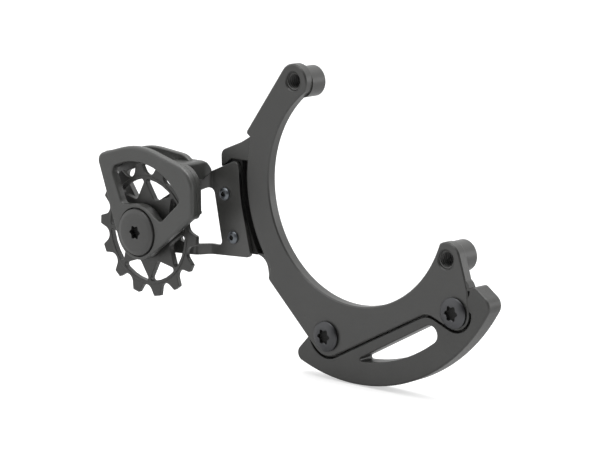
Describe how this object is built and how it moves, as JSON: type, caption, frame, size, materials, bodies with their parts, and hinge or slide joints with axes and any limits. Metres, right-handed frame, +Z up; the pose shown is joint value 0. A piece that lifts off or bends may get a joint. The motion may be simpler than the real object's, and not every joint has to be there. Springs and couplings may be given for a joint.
{
  "type": "bicycle chainring guard with idler",
  "caption": "Black bicycle chainring guard: a C-shaped backplate with a bash skid below, and a folded bracket that carries a toothed idler wheel in a chain guide",
  "frame": {"origin": "crank axis (the centre of the C-shaped opening) in the plane of the backplate's outboard face", "axes": "+X to the front of the bicycle, +Y inboard along the crank axis towards the frame, +Z up as the guard is fitted"},
  "size_m": [0.2134, 0.0332, 0.1346],
  "materials": {
    "plate_alloy": "satin black",
    "skid_plastic": "fine-grained black moulding",
    "bolt_steel": "dark blued steel",
    "insert_brass": "bright brass",
    "bracket_steel": "satin black",
    "screw_steel": "plain steel",
    "guide_plastic": "fine-grained black moulding",
    "pivot_alloy": "black anodised",
    "nut_steel": "plain steel",
    "cap_alloy": "turned",
    "wheel_plastic": "black moulding",
    "bearing_steel": "ground",
    "ball_steel": "polished",
    "cage_plastic": "moulded",
    "shield_rubber": "matt"
  },
  "bodies": {
    "guard": {"backplate": "plate_alloy", "bash_skid": "skid_plastic", "skid_bolt_rear": "bolt_steel", "skid_bolt_front": "bolt_steel", "skid_insert_rear": "insert_brass", "skid_insert_front": "insert_brass", "idler_bracket": "bracket_steel", "bracket_screw_upper": "screw_steel", "bracket_screw_lower": "screw_steel", "outer_guide": "guide_plastic", "inner_guide": "guide_plastic", "pivot_bolt": "pivot_alloy", "pivot_nut": "nut_steel", "dust_cap_outer": "cap_alloy", "dust_cap_inner": "cap_alloy", "bearing_inner_ring": "bearing_steel", "bearing_balls": "ball_steel", "ball_cage": "cage_plastic"},
    "wheel": {"idler_wheel": "wheel_plastic", "bearing_outer_ring": "bearing_steel", "bearing_shield_outer": "shield_rubber", "bearing_shield_inner": "shield_rubber"}
  },
  "joints": [
    {"name": "idler_spin", "type": "hinge", "parent": "guard", "child": "wheel", "pos_m": [-0.1114, -0.01, -0.0287], "axis": [0, 1, 0], "continuous": true}
  ]
}
